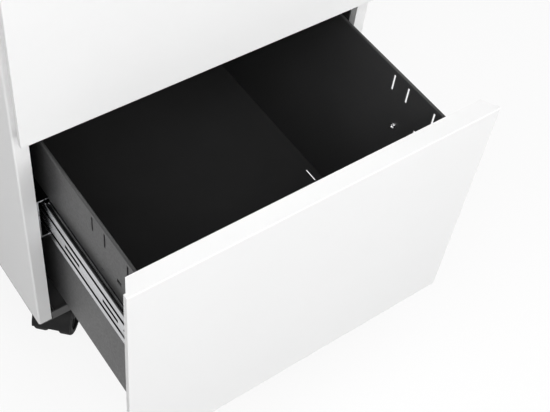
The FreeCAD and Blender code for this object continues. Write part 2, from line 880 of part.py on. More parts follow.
def cage(drawer, side_name, side):
    """Ball cage: a strip with a drilled flange along each edge."""
    name = f"{drawer.name}_{side_name}_cage"
    inner = s.runner_depth + s.cage_gap
    outer = inner + s.cage_gauge
    tip = s.race_center - s.ball_radius - s.cage_gap
    low = ball_height - s.cage_gauge / 2
    high = ball_height + s.cage_gauge / 2
    section = [
        (outer, -high), (outer, high), (tip, high), (tip, low),
        (inner, low), (inner, -low), (tip, -low), (tip, -high),
    ]
    outline = handed(side, from_wall(section, slide_middle(drawer)))
    body = prism(f"{name}_strip", "XZ_Plane", outline, s.cage_length, (0, cage_start(drawer), 0))
    hole_x = (box_half + s.race_center) * side
    holes = [
        (hole_x, s.cage_margin + ball_pitch() * number, s.ball_radius + s.ball_play)
        for number in range(BALLS_PER_ROW)
    ]
    pierce(body, f"{name}_holes", "XY_Plane", circles=holes)
    keep(body, name)


def balls(drawer):
    """Steel balls of both slides of a drawer, in an upper and a lower row."""
    pieces = []
    for side, sign in SIDES:
        for row, rise in (("low", -ball_height), ("high", ball_height)):
            for number in range(BALLS_PER_ROW):
                ball = doc.addObject("Part::Sphere", f"{drawer.name}_{side}_{row}_ball{number}")
                bind(ball, "Radius", s.ball_radius)
                y = cage_start(drawer) + s.cage_margin + ball_pitch() * number
                place(ball, (box_half + s.race_center) * sign, y, slide_middle(drawer) + rise)
                pieces.append(ball)
    keep(grouped(f"{drawer.name}_ball_set", pieces), f"{drawer.name}_balls")


# Twin wheel casters


def caster_stem(name, x, y):
    """Steel stem with a collar under the base and a threaded end above it."""
    top = base_top + s.stem_thread_length
    low = s.caster_height - s.stem_collar_height - s.stem_engagement
    pin = cylinder(f"{name}_pin", "z", s.stem_radius, top - low, (x, y, low))
    collar_low = s.caster_height - s.stem_collar_height
    collar = cylinder(f"{name}_collar", "z", s.stem_collar_radius, s.stem_collar_height, (x, y, collar_low))
    keep(fused(f"{name}_stem_solid", [pin, collar]), f"{name}_stem")


def caster_nuts():
    """Hexagon nuts that hold the four stems above the base sheet."""
    nuts = []
    for name, x, y in caster_places():
        nut = doc.addObject("Part::Prism", f"{name}_nut_blank")
        nut.Polygon = 6
        bind(nut, "Circumradius", s.nut_radius)
        bind(nut, "Height", s.nut_height)
        place(nut, x, y, base_top)
        bore = cylinder(f"{name}_nut_bore", "z", s.stem_radius + s.fit_play, s.nut_height, (x, y, base_top))
        nuts.append(cut(f"{name}_nut", nut, [bore]))
    keep(grouped("caster_nut_set", nuts), "caster_nuts")


def swivelled(item, x, y):
    """Turn a caster piece that was made round its own swivel axis, and move it to its place."""
    item.Placement = FreeCAD.Placement(FreeCAD.Vector(), FreeCAD.Rotation(FreeCAD.Vector(0, 0, 1), 1))
    bind(item, "Placement.Rotation.Angle", s.caster_angle)
    place(item, x, y, 0)
    return item


def caster_hood(name, x, y):
    """Moulded hood: a core between the wheels, a guard over them and a boss for the stem."""
    axle_x = -s.caster_trail
    axle_z = s.wheel_radius
    guard_inner = s.wheel_radius + s.hood_clearance
    guard_outer = guard_inner + s.hood_wall
    core_half = s.hood_core_width / 2
    guard_half = core_half + s.wheel_side_gap + s.wheel_width
    boss_top = s.caster_height - s.stem_collar_height - s.stem_gap
    drum = cylinder(f"{name}_drum", "y", guard_outer, guard_half * 2, (axle_x, -guard_half, axle_z))
    boss = cylinder(f"{name}_boss", "z", s.hood_boss_radius, boss_top - axle_z, (0, 0, axle_z))
    bays = [
        cylinder(f"{name}_bay_{side}", "y", guard_inner, s.wheel_width * 2, (axle_x, start, axle_z))
        for side, start in (("near", -core_half - s.wheel_width * 2), ("far", core_half))
    ]
    skirt = block(
        f"{name}_skirt",
        (axle_x - guard_outer * 2, -guard_half * 2, -guard_outer),
        (axle_x + guard_outer * 2, guard_half * 2, axle_z + s.hood_edge_height),
    )
    guard = cut(f"{name}_guard", fused(f"{name}_shell", [drum, boss]), bays + [skirt])
    lug = cylinder(f"{name}_lug", "y", s.hood_lug_radius, s.hood_core_width, (axle_x, -core_half, axle_z))
    bore_depth = s.stem_engagement + s.stem_bore_extra
    stem_foot = (0, 0, boss_top - bore_depth)
    stem_bore = cylinder(f"{name}_stem_bore", "z", s.stem_radius + s.fit_play, bore_depth, stem_foot)
    axle_start = (axle_x, -core_half, axle_z)
    axle_bore = cylinder(f"{name}_axle_bore", "y", s.axle_radius + s.fit_play, s.hood_core_width, axle_start)
    blank = fused(f"{name}_blank", [guard, lug])
    hood = cut(f"{name}_hood_solid", blank, [stem_bore, axle_bore])
    keep(swivelled(hood, x, y), f"{name}_hood")


def wheel_outline(side):
    """Half section of one wheel: round shoulders, a dished outer face and a hub."""
    inner = s.hood_core_width / 2 + s.wheel_side_gap
    outer = inner + s.wheel_width
    round_off = s.wheel_shoulder
    dish = outer - s.wheel_dish_depth
    outline = [
        (inner, s.axle_radius),
        (outer - s.hub_crown, s.axle_radius), (outer - s.hub_crown, s.hub_radius),
        (dish, s.hub_radius), (dish, s.wheel_dish_radius),
        (outer, s.wheel_dish_radius), (outer, s.wheel_radius - round_off, round_off),
        (outer - round_off, s.wheel_radius), (inner + round_off, s.wheel_radius, round_off),
        (inner, s.wheel_radius - round_off),
    ]
    return handed(side, outline)


def caster_wheels(name, x, y):
    """Two wheels pressed on one axle."""
    axle_x = -s.caster_trail
    wheels = [
        turned(f"{name}_{side}_wheel", wheel_outline(sign), (axle_x, 0, s.wheel_radius))
        for side, sign in SIDES
    ]
    keep(swivelled(grouped(f"{name}_wheel_pair", wheels), x, y), f"{name}_wheels")
    reach = s.hood_core_width / 2 + s.wheel_side_gap + s.wheel_width - s.hub_crown - s.axle_end_inset
    pin = cylinder(f"{name}_axle_pin", "y", s.axle_radius, reach * 2, (axle_x, -reach, s.wheel_radius))
    keep(swivelled(grouped(f"{name}_axle_piece", [pin]), x, y), f"{name}_axle")


def build():
    """Make every sub-part in assembly order."""
    for side_name, side in SIDES:
        side_panel(f"{side_name}_side_panel", side)
        liner(f"{side_name}_liner", side)
    top_panel()
    base_pan()
    back_panel()
    for drawer in DRAWERS:
        drawer_front(drawer)
        front_sheets(drawer)
        for side_name, side in SIDES:
            box_side(drawer, side_name, side)
            runner(drawer, side_name, side)
            rail(drawer, side_name, side)
            cage(drawer, side_name, side)
        box_rest(drawer)
        bumpers(drawer)
        balls(drawer)
    rail_screws()
    for place_name, x, y in caster_places():
        name = f"caster_{place_name}"
        caster_stem(name, x, y)
        caster_hood(name, x, y)
        caster_wheels(name, x, y)
    caster_nuts()


def check_and_write():
    """Stop on any failed object or shape, then write one file per sub-part."""
    doc.recompute()
    failed = [item.Name for item in doc.Objects if {"Invalid", "Error"} & set(item.State)]
    if failed:
        raise RuntimeError(f"objects that failed: {failed}")
    for item in parts:
        if item.Shape.isNull() or not item.Shape.isValid():
            raise RuntimeError(f"shape that failed: {item.Label}")
    os.makedirs("parts", exist_ok=True)
    for item in parts:
        item.Shape.exportStep(f"parts/{item.Label}.step")
    print(f"{len(parts)} sub-parts written")


build()
check_and_write()
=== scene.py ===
"""Mobile file cabinet: its finishes, its fasteners and wheel ribs, the studio and the camera."""

import json
import logging
import math
from dataclasses import dataclass
from enum import Enum

import bmesh
import bpy
from mathutils import Matrix, Vector


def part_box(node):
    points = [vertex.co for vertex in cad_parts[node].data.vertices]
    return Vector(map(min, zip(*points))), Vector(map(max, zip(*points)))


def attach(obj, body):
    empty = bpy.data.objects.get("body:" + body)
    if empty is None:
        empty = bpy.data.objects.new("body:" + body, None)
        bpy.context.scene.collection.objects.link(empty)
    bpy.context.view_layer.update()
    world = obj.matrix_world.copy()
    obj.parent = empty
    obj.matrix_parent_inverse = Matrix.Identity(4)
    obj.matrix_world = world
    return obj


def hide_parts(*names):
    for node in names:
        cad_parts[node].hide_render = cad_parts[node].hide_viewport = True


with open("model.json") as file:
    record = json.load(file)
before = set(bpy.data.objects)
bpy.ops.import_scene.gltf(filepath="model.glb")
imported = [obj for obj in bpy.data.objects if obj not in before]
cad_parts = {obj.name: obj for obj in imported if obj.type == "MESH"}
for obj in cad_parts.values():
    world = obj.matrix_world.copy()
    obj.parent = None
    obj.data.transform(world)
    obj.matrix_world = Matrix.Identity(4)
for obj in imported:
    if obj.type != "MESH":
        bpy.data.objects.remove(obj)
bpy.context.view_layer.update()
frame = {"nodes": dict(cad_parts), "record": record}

log = logging.getLogger("file_cabinet")

Triple = tuple[float, float, float]
DRAWERS = ("file", "upper")
CASTERS = ("front_left", "front_right", "rear_left", "rear_right")


def opaque(colour: Triple) -> tuple[float, float, float, float]:
    """Adds full opacity to a colour."""
    return (*colour, 1.0)


class Slot(Enum):
    """The finishes that the pieces are made in."""

    WHITE_PAINT = "white_paint"
    BLACK_PAINT = "black_paint"
    ZINC_STEEL = "zinc_steel"
    CAGE_STEEL = "cage_steel"
    BALL_STEEL = "ball_steel"
    BUMPER_RUBBER = "bumper_rubber"
    CASTER_PLASTIC = "caster_plastic"
    WHEEL_PLASTIC = "wheel_plastic"
    FASTENER_STEEL = "fastener_steel"


class Direction(Enum):
    """The way that a surface grain runs, as scales of the coordinates that it is read at."""

    ALONG_Y = (1.0, 0.06, 1.0)
    ALL_WAYS = (1.0, 1.0, 1.0)


class ShaderTree:
    """A node tree with short calls to add and join nodes."""

    # A Mix node's colour sockets, found by place because others share their names.
    MIX_FACTOR, MIX_FIRST, MIX_SECOND, MIX_RESULT = 0, 6, 7, 2

    def __init__(self, tree: bpy.types.NodeTree) -> None:
        """Takes an empty node tree."""
        self.tree = tree

    @classmethod
    def emptied(cls, owner: bpy.types.Material | bpy.types.World) -> "ShaderTree":
        """Empties the nodes of a material or a world and takes its tree."""
        owner.use_nodes = True
        owner.node_tree.nodes.clear()
        return cls(owner.node_tree)

    def add(self, kind: str, **values: object) -> bpy.types.Node:
        """Adds a node and sets its inputs and settings by name.

        Args:
            kind: Blender's type name of the node.
            values: input sockets, with _ for a space, or settings of the node.

        Returns:
            The new node.
        """
        node = self.tree.nodes.new(kind)
        for key, value in values.items():
            name = key.replace("_", " ")
            if name in node.inputs:
                self.feed(node.inputs[name], value)
            else:
                setattr(node, key, value)
        return node

    def feed(self, socket: bpy.types.NodeSocket, value: object) -> None:
        """Joins an output socket to an input, or sets a plain value on it."""
        if isinstance(value, bpy.types.NodeSocket):
            self.tree.links.new(value, socket)
        else:
            socket.default_value = value

    def noise(
        self, where: bpy.types.NodeSocket, scale: object, detail: float, roughness: float = 0.55,
    ) -> bpy.types.NodeSocket:
        """Gives a noise value from 0 to 1 at each point.

        Args:
            where: coordinates to read.
            scale: bumps per metre, as a number or a socket.
            detail: number of finer layers.
            roughness: strength of the finer layers.

        Returns:
            The noise value's socket.
        """
        node = self.add("ShaderNodeTexNoise", Vector=where, Scale=scale, Detail=detail, Roughness=roughness)
        return node.outputs["Fac"]

    def math(
        self, operation: str, first: object, second: object = 0.0, clamp: bool = False,
    ) -> bpy.types.NodeSocket:
        """Works out one value from two.

        Args:
            operation: Blender's name of the operation.
            first: left value.
            second: right value.
            clamp: holds the result between 0 and 1.

        Returns:
            The result's socket.
        """
        node = self.add("ShaderNodeMath", operation=operation, use_clamp=clamp)
        self.feed(node.inputs[0], first)
        self.feed(node.inputs[1], second)
        return node.outputs[0]

    def spread(
        self, value: object, low: object, high: float, start: float = 0.0, end: float = 1.0,
    ) -> bpy.types.NodeSocket:
        """Maps a value from one range to another.

        Args:
            value: value to map.
            low: result at the start, as a number or a socket.
            high: result at the end.
            start: value that gives low.
            end: value that gives high.

        Returns:
            The mapped value's socket.
        """
        node = self.add(
            "ShaderNodeMapRange", Value=value, From_Min=start, From_Max=end, To_Min=low, To_Max=high,
        )
        return node.outputs["Result"]

    def mix(self, factor: object, first: object, second: object) -> bpy.types.NodeSocket:
        """Mixes two colours.

        Args:
            factor: share of the second colour.
            first: colour at 0.
            second: colour at 1.

        Returns:
            The mixed colour's socket.
        """
        node = self.add("ShaderNodeMix", data_type="RGBA")
        self.feed(node.inputs[self.MIX_FACTOR], factor)
        self.feed(node.inputs[self.MIX_FIRST], first)
        self.feed(node.inputs[self.MIX_SECOND], second)
        return node.outputs[self.MIX_RESULT]


@dataclass
class SurfaceEffects:
    """Node groups that several finishes share, each built once.

    Each range holds the two values between which a mask goes from one end to the other.
    """

    coarse_scale: float = 0.31
    fine_share: float = 0.6
    coarse_share: float = 0.4
    noise_range: tuple[float, float] = (0.3, 0.7)
    edge_range: tuple[float, float] = (0.72, 0.98)
    edge_samples: int = 4
    break_range: tuple[float, float] = (0.35, 0.65)
    least_break: float = 0.1
    upward_range: tuple[float, float] = (0.15, 0.6)
    dust_and_painted_light_range: tuple[float, float] = (0.35, 0.7)

    def __post_init__(self) -> None:
        """Builds the groups."""
        self.grain = self._grain()
        self.wear = self._wear()
        self.dust_and_painted_light = self._dust_and_painted_light()

    @staticmethod
    def _group(
        name: str, inputs: dict[str, float], outputs: list[str],
    ) -> tuple[bpy.types.NodeTree, ShaderTree]:
        """Makes an empty group with its sockets.

        Args:
            name: name of the group.
            inputs: number inputs with their usual values; a vector input named Place is always there.
            outputs: number outputs.

        Returns:
            The group and its tree helper.
        """
        group = bpy.data.node_groups.new(name, "ShaderNodeTree")
        group.interface.new_socket("Place", in_out="INPUT", socket_type="NodeSocketVector")
        for title, value in inputs.items():
            socket = group.interface.new_socket(title, in_out="INPUT", socket_type="NodeSocketFloat")
            socket.default_value = value
        for title in outputs:
            group.interface.new_socket(title, in_out="OUTPUT", socket_type="NodeSocketFloat")
        return group, ShaderTree(group)

    def _grain(self) -> bpy.types.NodeTree:
        """Fine surface grain: a height, an uneven polish and a slow change of tone."""
        inputs = {"Size": 900.0, "Patch": 9.0}
        group, tree = self._group("surface_grain", inputs, ["Height", "Polish", "Tone"])
        source = tree.add("NodeGroupInput").outputs
        fine = tree.noise(source["Place"], source["Size"], detail=3.0)
        coarse_size = tree.math("MULTIPLY", source["Size"], self.coarse_scale)
        coarse = tree.noise(source["Place"], coarse_size, detail=2.0)
        patch = tree.noise(source["Place"], source["Patch"], detail=4.0, roughness=0.6)
        fine_part = tree.math("MULTIPLY", fine, self.fine_share)
        coarse_part = tree.math("MULTIPLY", coarse, self.coarse_share)
        tree.add(
            "NodeGroupOutput", Height=tree.math("ADD", fine_part, coarse_part),
            Polish=tree.spread(coarse, 0.0, 1.0, *self.noise_range),
            Tone=tree.spread(patch, 0.0, 1.0, *self.noise_range),
        )
        return group

    def _wear(self) -> bpy.types.NodeTree:
        """Rubbed edges: a mask that is 1 along sharp edges, broken up by noise."""
        group, tree = self._group("edge_wear", {"Reach": 0.0012, "Breaks": 140.0}, ["Mask"])
        source = tree.add("NodeGroupInput").outputs
        rounded = tree.add("ShaderNodeBevel", samples=self.edge_samples, Radius=source["Reach"])
        flat = tree.add("ShaderNodeNewGeometry")
        turn = tree.add("ShaderNodeVectorMath", operation="DOT_PRODUCT")
        tree.feed(turn.inputs[0], rounded.outputs["Normal"])
        tree.feed(turn.inputs[1], flat.outputs["Normal"])
        edge = tree.spread(turn.outputs["Value"], 1.0, 0.0, *self.edge_range)
        noise = tree.noise(source["Place"], source["Breaks"], detail=4.0)
        breaks = tree.spread(noise, self.least_break, 1.0, *self.break_range)
        tree.add("NodeGroupOutput", Mask=tree.math("MULTIPLY", edge, breaks, clamp=True))
        return group

    def _dust_and_painted_light(self) -> bpy.types.NodeTree:
        """A mask on faces that look up, in soft patches over an even cover, for settled dust and also for
        painted shade and painted light.
        """
        group, tree = self._group("settled_dust_and_painted_light", {"Patch": 60.0, "Cover": 0.0}, ["Mask"])
        source = tree.add("NodeGroupInput").outputs
        normal = tree.add("ShaderNodeNewGeometry").outputs["Normal"]
        up = tree.add("ShaderNodeSeparateXYZ", Vector=normal).outputs["Z"]
        facing = tree.spread(up, 0.0, 1.0, *self.upward_range)
        noise = tree.noise(source["Place"], source["Patch"], detail=5.0, roughness=0.65)
        patch = tree.spread(noise, source["Cover"], 1.0, *self.dust_and_painted_light_range)
        tree.add("NodeGroupOutput", Mask=tree.math("MULTIPLY", facing, patch, clamp=True))
        return group


@dataclass(frozen=True)
class Finish:
    """One finish, with the colour, gloss and grain that the real one shows, and on some finishes painted
    shade and painted light on the faces that look up.
    """

    slot: Slot
    colour: Triple
    roughness: float
    roughness_spread: float = 0.06
    metallic: float = 0.0
    specular: float = 0.5
    tone_spread: float = 0.03
    grain_size: float = 900.0
    grain_patch: float = 9.0
    grain_depth: float = 0.00004
    grain_way: Direction = Direction.ALL_WAYS
    edge_wear: float = 0.0
    edge_reach: float = 0.0012
    worn_colour: Triple = (0.8, 0.8, 0.8)
    # Faces that look up mix towards a second colour: real dust on most finishes, painted shade on the zinc
    # and partly painted light on the black paint.
    dust_and_painted_light: float = 0.0
    dust_and_painted_light_cover: float = 0.0
    dust_and_painted_light_colour: Triple = (0.55, 0.53, 0.5)

    def material(self, effects: SurfaceEffects) -> bpy.types.Material:
        """Builds the material.

        Args:
            effects: the shared node groups.

        Returns:
            The new material.
        """
        made = bpy.data.materials.new(self.slot.value)
        tree = ShaderTree.emptied(made)
        place = tree.add("ShaderNodeTexCoord").outputs["Object"]
        stretched = tree.add("ShaderNodeMapping", Vector=place, Scale=self.grain_way.value).outputs["Vector"]
        grain = tree.add(
            "ShaderNodeGroup", node_tree=effects.grain,
            Place=stretched, Size=self.grain_size, Patch=self.grain_patch,
        )
        darker = tuple(part * (1 - self.tone_spread) for part in self.colour)
        colour = tree.mix(grain.outputs["Tone"], opaque(darker), opaque(self.colour))
        if self.edge_wear:
            wear = tree.add("ShaderNodeGroup", node_tree=effects.wear, Place=place, Reach=self.edge_reach)
            share = tree.math("MULTIPLY", wear.outputs["Mask"], self.edge_wear)
            colour = tree.mix(share, colour, opaque(self.worn_colour))
        # Faces that look up are mixed towards a second colour: real dust, and on the zinc and the black
        # paint also painted shade and painted light.
        if self.dust_and_painted_light:
            dust_and_painted_light = tree.add("ShaderNodeGroup", node_tree=effects.dust_and_painted_light, Place=place, Cover=self.dust_and_painted_light_cover)
            share = tree.math("MULTIPLY", dust_and_painted_light.outputs["Mask"], self.dust_and_painted_light)
            colour = tree.mix(share, colour, opaque(self.dust_and_painted_light_colour))
        rough = tree.spread(
            grain.outputs["Polish"],
            self.roughness - self.roughness_spread,
            self.roughness + self.roughness_spread,
        )
        bump = tree.add("ShaderNodeBump", Height=grain.outputs["Height"], Distance=self.grain_depth)
        shader = tree.add(
            "ShaderNodeBsdfPrincipled", Base_Color=colour, Metallic=self.metallic, Roughness=rough,
            Specular_IOR_Level=self.specular, Normal=bump.outputs["Normal"],
        )
        tree.add("ShaderNodeOutputMaterial", Surface=shader.outputs[0])
        return made


FINISHES = (
    Finish(
        Slot.WHITE_PAINT, (0.905, 0.905, 0.905), roughness=0.6, specular=0.3, tone_spread=0.012,
        grain_size=1100.0, grain_depth=0.00003, edge_wear=0.25, worn_colour=(0.78, 0.78, 0.78),
    ),
    Finish(
        Slot.BLACK_PAINT, (0.054, 0.054, 0.055), roughness=0.38, tone_spread=0.15,
        grain_size=1500.0, grain_depth=0.00003, edge_wear=0.3, worn_colour=(0.1, 0.1, 0.1),
        # Partly real dust, partly painted light: the faces that look up are lifted a little so that their
        # shade evens out with the walls.
        dust_and_painted_light=0.008, dust_and_painted_light_cover=0.7,
    ),
    Finish(
        Slot.ZINC_STEEL, (0.74, 0.75, 0.77), roughness=0.2, metallic=1.0, tone_spread=0.16,
        grain_size=700.0, grain_patch=40.0, grain_depth=0.00003, grain_way=Direction.ALONG_Y,
        edge_wear=0.3, worn_colour=(0.85, 0.85, 0.87),
        # Painted shade: the zinc's faces that look up are painted near black, standing in for the shade and
        # dark reflection along the top of the runners.
        dust_and_painted_light=0.95, dust_and_painted_light_cover=0.85, dust_and_painted_light_colour=(0.035, 0.035, 0.034),
    ),
    Finish(
        Slot.CAGE_STEEL, (0.5, 0.5, 0.51), roughness=0.36, metallic=1.0, tone_spread=0.18,
        grain_size=800.0, grain_patch=60.0, grain_way=Direction.ALONG_Y,
        edge_wear=0.3, worn_colour=(0.7, 0.7, 0.71),
    ),
    Finish(
        Slot.BALL_STEEL, (0.74, 0.74, 0.75), roughness=0.12, roughness_spread=0.04, metallic=1.0,
        tone_spread=0.08, grain_size=1500.0, grain_patch=300.0, grain_depth=0.00001,
    ),
    Finish(
        Slot.BUMPER_RUBBER, (0.014, 0.014, 0.014), roughness=0.7, tone_spread=0.25,
        grain_size=2200.0, grain_depth=0.00005, dust_and_painted_light=0.02,
    ),
    Finish(
        Slot.CASTER_PLASTIC, (0.011, 0.011, 0.0115), roughness=0.6, specular=0.2, tone_spread=0.2,
        grain_size=1800.0, grain_depth=0.00008, edge_wear=0.3, worn_colour=(0.05, 0.05, 0.05),
        dust_and_painted_light=0.008,
    ),
    Finish(
        Slot.WHEEL_PLASTIC, (0.013, 0.013, 0.0135), roughness=0.66, roughness_spread=0.1, specular=0.2,
        tone_spread=0.3, grain_size=900.0, grain_patch=70.0, grain_depth=0.00008,
        edge_wear=0.5, edge_reach=0.002, worn_colour=(0.07, 0.068, 0.066), dust_and_painted_light=0.012,
    ),
    Finish(
        Slot.FASTENER_STEEL, (0.82, 0.82, 0.83), roughness=0.27, metallic=1.0, tone_spread=0.15,
        grain_size=1500.0, grain_patch=150.0, grain_depth=0.00003,
        edge_wear=0.3, worn_colour=(0.86, 0.86, 0.86),
    ),
)


class Dresser:
    """Gives every node its finish."""

    def __init__(self) -> None:
        """Builds the shared effects and one material for each finish."""
        effects = SurfaceEffects()
        self.materials = {finish.slot: finish.material(effects) for finish in FINISHES}

    def paint(self, piece: bpy.types.Object, slot: Slot) -> None:
        """Gives a piece one finish all over."""
        piece.data.materials.clear()
        piece.data.materials.append(self.materials[slot])

    def paint_nodes(self) -> None:
        """Gives each CAD node the finish that its record names."""
        for part in frame["record"]["subparts"]:
            self.paint(frame["nodes"][part["node"]], Slot(part["material_slot"]))
            log.info("painted %s", part["node"])


class PieceMaker:
    """Shapes new pieces with bmesh, paints them and hangs them on their bodies."""

    MERGE_REACH = 1e-6
    SHARP_DEG = 40.0

    def __init__(self, dresser: Dresser) -> None:
        """Takes the dresser that paints the pieces."""
        self.dresser = dresser

    @staticmethod
    def spun(section: tuple[tuple[float, float], ...], steps: int) -> bmesh.types.BMesh:
        """Turns a half section all round the Z axis.

        Args:
            section: radius and height pairs, from the axis outside and back to the axis.
            steps: faces round the piece.

        Returns:
            A closed mesh.
        """
        shape = bmesh.new()
        points = [shape.verts.new((radius, 0.0, height)) for radius, height in section]
        lines = [shape.edges.new(pair) for pair in zip(points, points[1:])]
        bmesh.ops.spin(
            shape, geom=points + lines, cent=(0.0, 0.0, 0.0), axis=(0.0, 0.0, 1.0),
            angle=math.tau, steps=steps, use_merge=True,
        )
        bmesh.ops.remove_doubles(shape, verts=shape.verts, dist=PieceMaker.MERGE_REACH)
        bmesh.ops.recalc_face_normals(shape, faces=shape.faces)
        return shape

    @staticmethod
    def copies(shape: bmesh.types.BMesh, places: list[Matrix]) -> bmesh.types.BMesh:
        """Sets one copy of a shape at each place.

        Args:
            shape: the shape to copy, which is used up.
            places: where the copies go.

        Returns:
            All the copies in one mesh.
        """
        pattern = bpy.data.meshes.new("pattern")
        shape.to_mesh(pattern)
        shape.free()
        whole = bmesh.new()
        for place in places:
            first = len(whole.verts)
            whole.from_mesh(pattern)
            whole.verts.ensure_lookup_table()
            bmesh.ops.transform(whole, matrix=place, verts=whole.verts[first:])
        bmesh.ops.recalc_face_normals(whole, faces=whole.faces)
        bpy.data.meshes.remove(pattern)
        return whole

    def hand_over(self, name: str, shape: bmesh.types.BMesh, body: str, slot: Slot) -> bpy.types.Object:
        """Makes a finished object of a shape.

        Args:
            name: name of the piece.
            shape: its mesh, in its place, which is used up.
            body: CAD body that the piece moves with.
            slot: finish of the piece.

        Returns:
            The new object.
        """
        data = bpy.data.meshes.new(name)
        shape.to_mesh(data)
        shape.free()
        data.shade_smooth()
        data.set_sharp_from_angle(angle=math.radians(self.SHARP_DEG))
        piece = bpy.data.objects.new(name, data)
        bpy.context.collection.objects.link(piece)
        self.dresser.paint(piece, slot)
        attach(piece, body)
        log.info("made %s", name)
        return piece


@dataclass
class BoxFasteners:
    """Rivets in a drawer's side walls and screws in its inner front, with their real heads."""

    drawer: str
    wall_gauge: float = 0.001
    head_radius: float = 0.0036
    head_height: float = 0.002
    shank_radius: float = 0.002
    bore_radius: float = 0.00175
    tail_floor: float = 0.0001
    rim_height: float = 0.0005
    crown_radius: float = 0.0029
    dimple_radius: float = 0.0023
    dimple_floor_radius: float = 0.0015
    dimple_depth: float = 0.0015
    screw_rim_share: float = 0.35
    dome_angles_deg: tuple[int, ...] = (0, 15, 30, 45, 60, 75)
    tip_length: float = 0.0005
    tip_share: float = 0.75
    recess_reach: float = 0.0021
    recess_half_width: float = 0.00042
    recess_depth: float = 0.0011
    sunk_above_share: float = 0.4
    cut_tolerance: float = 1e-7
    steps: int = 40

    def build(self, maker: PieceMaker) -> None:
        """Makes the rivets and the screws."""
        self._rivets(maker)
        self._screws(maker)

    def _dome(self, rim: float) -> list[tuple[float, float]]:
        """Gives the rounded top of a screw head from its rim inwards.

        Args:
            rim: height of the straight rim under the dome.

        Returns:
            Radius and height pairs.
        """
        rise = self.head_height - rim
        turns = [math.radians(angle) for angle in self.dome_angles_deg]
        return [(self.head_radius * math.cos(turn), rim + rise * math.sin(turn)) for turn in turns]

    def _rivets(self, maker: PieceMaker) -> None:
        """Makes hollow rivets: a flat crowned, dimpled head inside the wall and a painted tail in it.

        Args:
            maker: shapes the pieces.
        """
        node = f"{self.drawer}_rivets"
        low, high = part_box(node)
        gauge = self.wall_gauge
        top = self.head_height
        floor = top - self.dimple_depth
        head_section = (
            (0.0, floor), (self.dimple_floor_radius, floor), (self.dimple_radius, top),
            (self.crown_radius, top), (self.head_radius, self.rim_height),
            (self.head_radius, 0.0), (0.0, 0.0),
        )
        tail_section = (
            (0.0, 0.0), (self.shank_radius, 0.0), (self.shank_radius, -gauge),
            (self.bore_radius, -gauge), (self.bore_radius, -self.tail_floor), (0.0, -self.tail_floor),
        )
        height = (low[2] + high[2]) / 2
        places = [
            Matrix.Translation((side * (high[0] - gauge), y, height))
            @ Matrix.Rotation(-side * math.pi / 2, 4, "Y")
            for side in (-1, 1)
            for y in (low[1] + self.head_radius, high[1] - self.head_radius)
        ]
        body = f"{self.drawer}_drawer"
        heads = maker.copies(maker.spun(head_section, self.steps), places)
        piece = maker.hand_over(f"{self.drawer}_rivet_heads", heads, body, Slot.FASTENER_STEEL)
        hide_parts(node)
        tails = maker.copies(maker.spun(tail_section, self.steps), places)
        maker.hand_over(f"{self.drawer}_rivet_tails", tails, body, Slot.BLACK_PAINT)

    def _screws(self, maker: PieceMaker) -> None:
        """Makes pan head screws with a cross recess.

        Args:
            maker: shapes the pieces.
        """
        node = f"{self.drawer}_front_screws"
        low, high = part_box(node)
        seat = high[1] - self.head_height
        tip = low[1] - seat
        section = (
            (0.0, self.head_height), *reversed(self._dome(self.head_height * self.screw_rim_share)),
            (self.head_radius, 0.0), (self.shank_radius, 0.0),
            (self.shank_radius, tip + self.tip_length),
            (self.shank_radius * self.tip_share, tip), (0.0, tip),
        )
        screw = maker.spun(section, self.steps)
        self._sink_cross(screw)
        places = [
            Matrix.Translation((x, seat, z)) @ Matrix.Rotation(-math.pi / 2, 4, "X")
            for x in (low[0] + self.head_radius, high[0] - self.head_radius)
            for z in (low[2] + self.head_radius, high[2] - self.head_radius)
        ]
        screws = maker.copies(screw, places)
        name = f"{self.drawer}_screw_heads"
        piece = maker.hand_over(name, screws, f"{self.drawer}_drawer", Slot.FASTENER_STEEL)
        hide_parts(node)

    def _sink_cross(self, head: bmesh.types.BMesh) -> None:
        """Sinks a cross recess into the top of a screw head.

        Args:
            head: the screw's mesh, head up, which is changed.
        """
        half = self.recess_half_width
        reach = self.recess_reach
        for axis in (Vector((1.0, 0.0, 0.0)), Vector((0.0, 1.0, 0.0))):
            for distance in (-reach, -half, half, reach):
                bmesh.ops.bisect_plane(
                    head, geom=head.verts[:] + head.edges[:] + head.faces[:],
                    plane_co=axis * distance, plane_no=axis, dist=self.cut_tolerance,
                )
        floor = []
        for face in head.faces:
            middle = face.calc_center_median()
            near, far = sorted((abs(middle.x), abs(middle.y)))
            if far < reach and near < half and middle.z > self.head_height * self.sunk_above_share:
                floor.append(face)
        sunk = bmesh.ops.extrude_face_region(head, geom=floor)
        bmesh.ops.delete(head, geom=floor, context="FACES_ONLY")
        moved = [item for item in sunk["geom"] if isinstance(item, bmesh.types.BMVert)]
        bmesh.ops.translate(head, verts=moved, vec=(0.0, 0.0, -self.recess_depth))
        bmesh.ops.recalc_face_normals(head, faces=head.faces)


